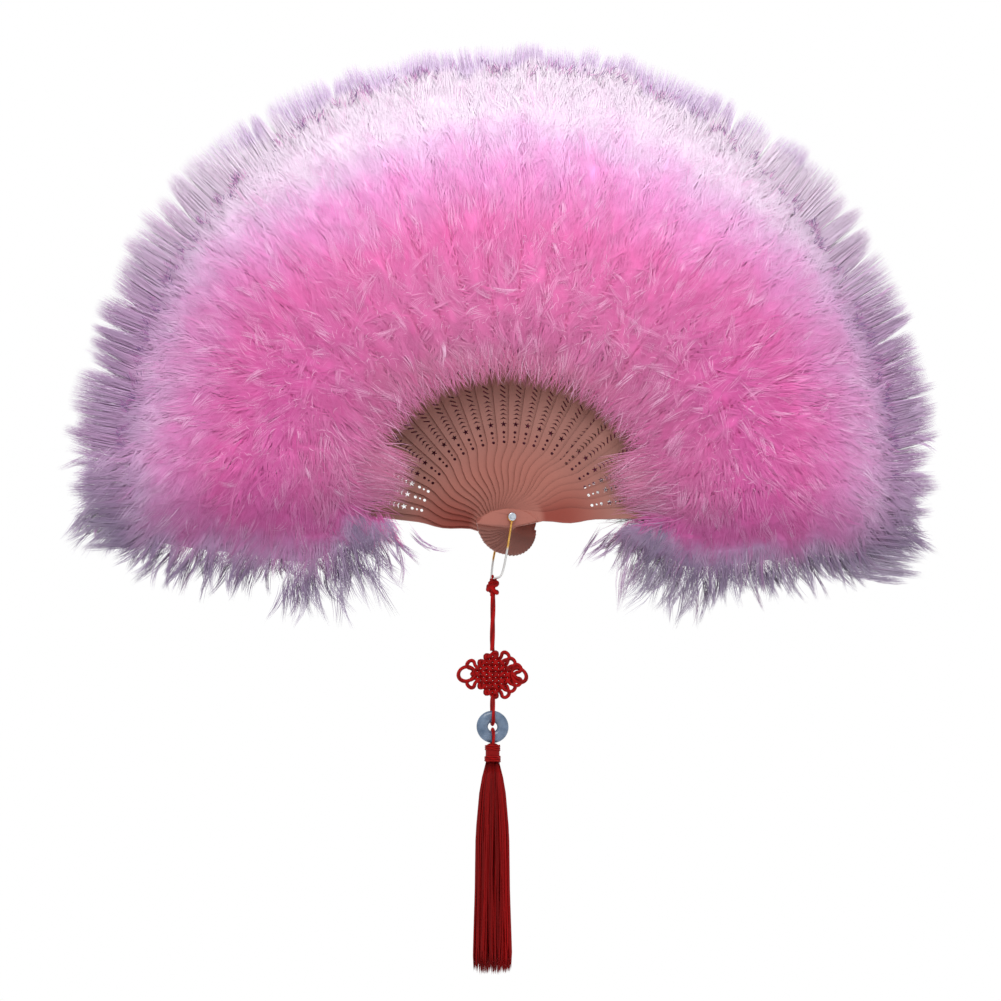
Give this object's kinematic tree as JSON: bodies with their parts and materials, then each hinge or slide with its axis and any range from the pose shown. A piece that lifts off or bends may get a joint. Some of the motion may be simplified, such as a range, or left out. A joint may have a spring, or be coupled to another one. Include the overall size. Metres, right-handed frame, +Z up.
{
  "type": "feather fan",
  "caption": "Folding hand fan: pierced wavy ribs between two guards on one rivet, each with a plume of pink down, and a wire bail with a corded knot, ring and tassel.",
  "frame": {"origin": "on the rivet's axis, at the middle of the stack of sticks", "axes": "+X towards the front guard's side, -Y out of the fan's front, +Z up through the open fan; millimetres in the source, metres here"},
  "size_m": [0.4271, 0.042, 0.4664],
  "materials": {
    "stick": "smooth moulded rose-brown stick with a soft satin sheen",
    "down": "dyed down, pink at the middle and pale lilac at the tips",
    "rivet_steel": "bright steel",
    "gold_wire": "bright gold-coloured wire",
    "red_cord": "twisted satin cord, dark red",
    "jade": "polished translucent blue-grey stone",
    "red_thread": "loose rayon thread, dark red"
  },
  "bodies": {
    "handle": {"front_guard": "stick", "front_guard_plume": "down", "pivot_rivet": "rivet_steel", "rivet_cap": "rivet_steel"},
    "stick_01": {"rib_01": "stick", "rib_plume_01": "down"},
    "stick_02": {"rib_02": "stick", "rib_plume_02": "down"},
    "stick_03": {"rib_03": "stick", "rib_plume_03": "down"},
    "stick_04": {"rib_04": "stick", "rib_plume_04": "down"},
    "stick_05": {"rib_05": "stick", "rib_plume_05": "down"},
    "stick_06": {"rib_06": "stick", "rib_plume_06": "down"},
    "stick_07": {"rib_07": "stick", "rib_plume_07": "down"},
    "stick_08": {"rib_08": "stick", "rib_plume_08": "down"},
    "stick_09": {"rib_09": "stick", "rib_plume_09": "down"},
    "stick_10": {"rib_10": "stick", "rib_plume_10": "down"},
    "stick_11": {"rib_11": "stick", "rib_plume_11": "down"},
    "stick_12": {"rib_12": "stick", "rib_plume_12": "down"},
    "stick_13": {"rib_13": "stick", "rib_plume_13": "down"},
    "stick_14": {"rib_14": "stick", "rib_plume_14": "down"},
    "stick_15": {"rib_15": "stick", "rib_plume_15": "down"},
    "stick_16": {"rib_16": "stick", "rib_plume_16": "down"},
    "stick_17": {"rib_17": "stick", "rib_plume_17": "down"},
    "stick_18": {"rib_18": "stick", "rib_plume_18": "down"},
    "stick_19": {"rib_19": "stick", "rib_plume_19": "down"},
    "stick_20": {"rib_20": "stick", "rib_plume_20": "down"},
    "stick_21": {"rib_21": "stick", "rib_plume_21": "down"},
    "stick_22": {"rib_22": "stick", "rib_plume_22": "down"},
    "stick_23": {"rib_23": "stick", "rib_plume_23": "down"},
    "stick_24": {"rib_24": "stick", "rib_plume_24": "down"},
    "back_stick": {"back_guard": "stick", "back_guard_plume": "down"},
    "bail": {"wire_bail": "gold_wire"},
    "tassel": {"hanging_cord": "red_cord", "woven_knot": "red_cord", "jade_ring": "jade", "tassel_collar": "red_cord", "tassel_skirt": "red_thread"}
  },
  "joints": [
    {"name": "fan_fold", "type": "hinge", "parent": "handle", "child": "back_stick", "pos_m": [0, 0, 0], "axis": [0, 1, 0], "range_deg": [0, 169.6], "deforming": ["back_guard_plume", "front_guard_plume"]},
    {"name": "stick_01_turn", "type": "hinge", "parent": "handle", "child": "stick_01", "pos_m": [0, 0, 0], "axis": [0, 1, 0], "range_deg": [0, 6.9], "deforming": ["rib_plume_01"]},
    {"name": "stick_02_turn", "type": "hinge", "parent": "handle", "child": "stick_02", "pos_m": [0, 0, 0], "axis": [0, 1, 0], "range_deg": [0, 14.46], "deforming": ["rib_plume_02"]},
    {"name": "stick_03_turn", "type": "hinge", "parent": "handle", "child": "stick_03", "pos_m": [0, 0, 0], "axis": [0, 1, 0], "range_deg": [0, 20.75], "deforming": ["rib_plume_03"]},
    {"name": "stick_04_turn", "type": "hinge", "parent": "handle", "child": "stick_04", "pos_m": [0, 0, 0], "axis": [0, 1, 0], "range_deg": [0, 27.72], "deforming": ["rib_plume_04"]},
    {"name": "stick_05_turn", "type": "hinge", "parent": "handle", "child": "stick_05", "pos_m": [0, 0, 0], "axis": [0, 1, 0], "range_deg": [0, 36.1], "deforming": ["rib_plume_05"]},
    {"name": "stick_06_turn", "type": "hinge", "parent": "handle", "child": "stick_06", "pos_m": [0, 0, 0], "axis": [0, 1, 0], "range_deg": [0, 41.75], "deforming": ["rib_plume_06"]},
    {"name": "stick_07_turn", "type": "hinge", "parent": "handle", "child": "stick_07", "pos_m": [0, 0, 0], "axis": [0, 1, 0], "range_deg": [0, 45.77], "deforming": ["rib_plume_07"]},
    {"name": "stick_08_turn", "type": "hinge", "parent": "handle", "child": "stick_08", "pos_m": [0, 0, 0], "axis": [0, 1, 0], "range_deg": [0, 53.64], "deforming": ["rib_plume_08"]},
    {"name": "stick_09_turn", "type": "hinge", "parent": "handle", "child": "stick_09", "pos_m": [0, 0, 0], "axis": [0, 1, 0], "range_deg": [0, 60.34], "deforming": ["rib_plume_09"]},
    {"name": "stick_10_turn", "type": "hinge", "parent": "handle", "child": "stick_10", "pos_m": [0, 0, 0], "axis": [0, 1, 0], "range_deg": [0, 67.07], "deforming": ["rib_plume_10"]},
    {"name": "stick_11_turn", "type": "hinge", "parent": "handle", "child": "stick_11", "pos_m": [0, 0, 0], "axis": [0, 1, 0], "range_deg": [0, 73.91], "deforming": ["rib_plume_11"]},
    {"name": "stick_12_turn", "type": "hinge", "parent": "handle", "child": "stick_12", "pos_m": [0, 0, 0], "axis": [0, 1, 0], "range_deg": [0, 80.62], "deforming": ["rib_plume_12"]},
    {"name": "stick_13_turn", "type": "hinge", "parent": "handle", "child": "stick_13", "pos_m": [0, 0, 0], "axis": [0, 1, 0], "range_deg": [0, 87.41], "deforming": ["rib_plume_13"]},
    {"name": "stick_14_turn", "type": "hinge", "parent": "handle", "child": "stick_14", "pos_m": [0, 0, 0], "axis": [0, 1, 0], "range_deg": [0, 94.6], "deforming": ["rib_plume_14"]},
    {"name": "stick_15_turn", "type": "hinge", "parent": "handle", "child": "stick_15", "pos_m": [0, 0, 0], "axis": [0, 1, 0], "range_deg": [0, 101.87], "deforming": ["rib_plume_15"]},
    {"name": "stick_16_turn", "type": "hinge", "parent": "handle", "child": "stick_16", "pos_m": [0, 0, 0], "axis": [0, 1, 0], "range_deg": [0, 109.11], "deforming": ["rib_plume_16"]},
    {"name": "stick_17_turn", "type": "hinge", "parent": "handle", "child": "stick_17", "pos_m": [0, 0, 0], "axis": [0, 1, 0], "range_deg": [0, 116.19], "deforming": ["rib_plume_17"]},
    {"name": "stick_18_turn", "type": "hinge", "parent": "handle", "child": "stick_18", "pos_m": [0, 0, 0], "axis": [0, 1, 0], "range_deg": [0, 123.16], "deforming": ["rib_plume_18"]},
    {"name": "stick_19_turn", "type": "hinge", "parent": "handle", "child": "stick_19", "pos_m": [0, 0, 0], "axis": [0, 1, 0], "range_deg": [0, 130.33], "deforming": ["rib_plume_19"]},
    {"name": "stick_20_turn", "type": "hinge", "parent": "handle", "child": "stick_20", "pos_m": [0, 0, 0], "axis": [0, 1, 0], "range_deg": [0, 137.74], "deforming": ["rib_plume_20"]},
    {"name": "stick_21_turn", "type": "hinge", "parent": "handle", "child": "stick_21", "pos_m": [0, 0, 0], "axis": [0, 1, 0], "range_deg": [0, 145.14], "deforming": ["rib_plume_21"]},
    {"name": "stick_22_turn", "type": "hinge", "parent": "handle", "child": "stick_22", "pos_m": [0, 0, 0], "axis": [0, 1, 0], "range_deg": [0, 151.41], "deforming": ["rib_plume_22"]},
    {"name": "stick_23_turn", "type": "hinge", "parent": "handle", "child": "stick_23", "pos_m": [0, 0, 0], "axis": [0, 1, 0], "range_deg": [0, 157.81], "deforming": ["rib_plume_23"]},
    {"name": "stick_24_turn", "type": "hinge", "parent": "handle", "child": "stick_24", "pos_m": [0, 0, 0], "axis": [0, 1, 0], "range_deg": [0, 164.88], "deforming": ["rib_plume_24"]},
    {"name": "bail_swing", "type": "hinge", "parent": "handle", "child": "bail", "pos_m": [0, 0, 0], "axis": [0, 1, 0], "range_deg": [-30, 30]},
    {"name": "tassel_swing", "type": "hinge", "parent": "bail", "child": "tassel", "pos_m": [-0.007, 0, -0.0268], "axis": [0, 1, 0], "range_deg": [-20, 20]}
  ],
  "couplings": [
    {"joint": "stick_01_turn", "follows": "fan_fold", "ratio": 0.0406},
    {"joint": "stick_02_turn", "follows": "fan_fold", "ratio": 0.0852},
    {"joint": "stick_03_turn", "follows": "fan_fold", "ratio": 0.1223},
    {"joint": "stick_04_turn", "follows": "fan_fold", "ratio": 0.1634},
    {"joint": "stick_05_turn", "follows": "fan_fold", "ratio": 0.2128},
    {"joint": "stick_06_turn", "follows": "fan_fold", "ratio": 0.2461},
    {"joint": "stick_07_turn", "follows": "fan_fold", "ratio": 0.2698},
    {"joint": "stick_08_turn", "follows": "fan_fold", "ratio": 0.3162},
    {"joint": "stick_09_turn", "follows": "fan_fold", "ratio": 0.3557},
    {"joint": "stick_10_turn", "follows": "fan_fold", "ratio": 0.3954},
    {"joint": "stick_11_turn", "follows": "fan_fold", "ratio": 0.4357},
    {"joint": "stick_12_turn", "follows": "fan_fold", "ratio": 0.4753},
    {"joint": "stick_13_turn", "follows": "fan_fold", "ratio": 0.5153},
    {"joint": "stick_14_turn", "follows": "fan_fold", "ratio": 0.5577},
    {"joint": "stick_15_turn", "follows": "fan_fold", "ratio": 0.6006},
    {"joint": "stick_16_turn", "follows": "fan_fold", "ratio": 0.6433},
    {"joint": "stick_17_turn", "follows": "fan_fold", "ratio": 0.685},
    {"joint": "stick_18_turn", "follows": "fan_fold", "ratio": 0.7261},
    {"joint": "stick_19_turn", "follows": "fan_fold", "ratio": 0.7684},
    {"joint": "stick_20_turn", "follows": "fan_fold", "ratio": 0.8121},
    {"joint": "stick_21_turn", "follows": "fan_fold", "ratio": 0.8557},
    {"joint": "stick_22_turn", "follows": "fan_fold", "ratio": 0.8927},
    {"joint": "stick_23_turn", "follows": "fan_fold", "ratio": 0.9304},
    {"joint": "stick_24_turn", "follows": "fan_fold", "ratio": 0.9721}
  ]
}
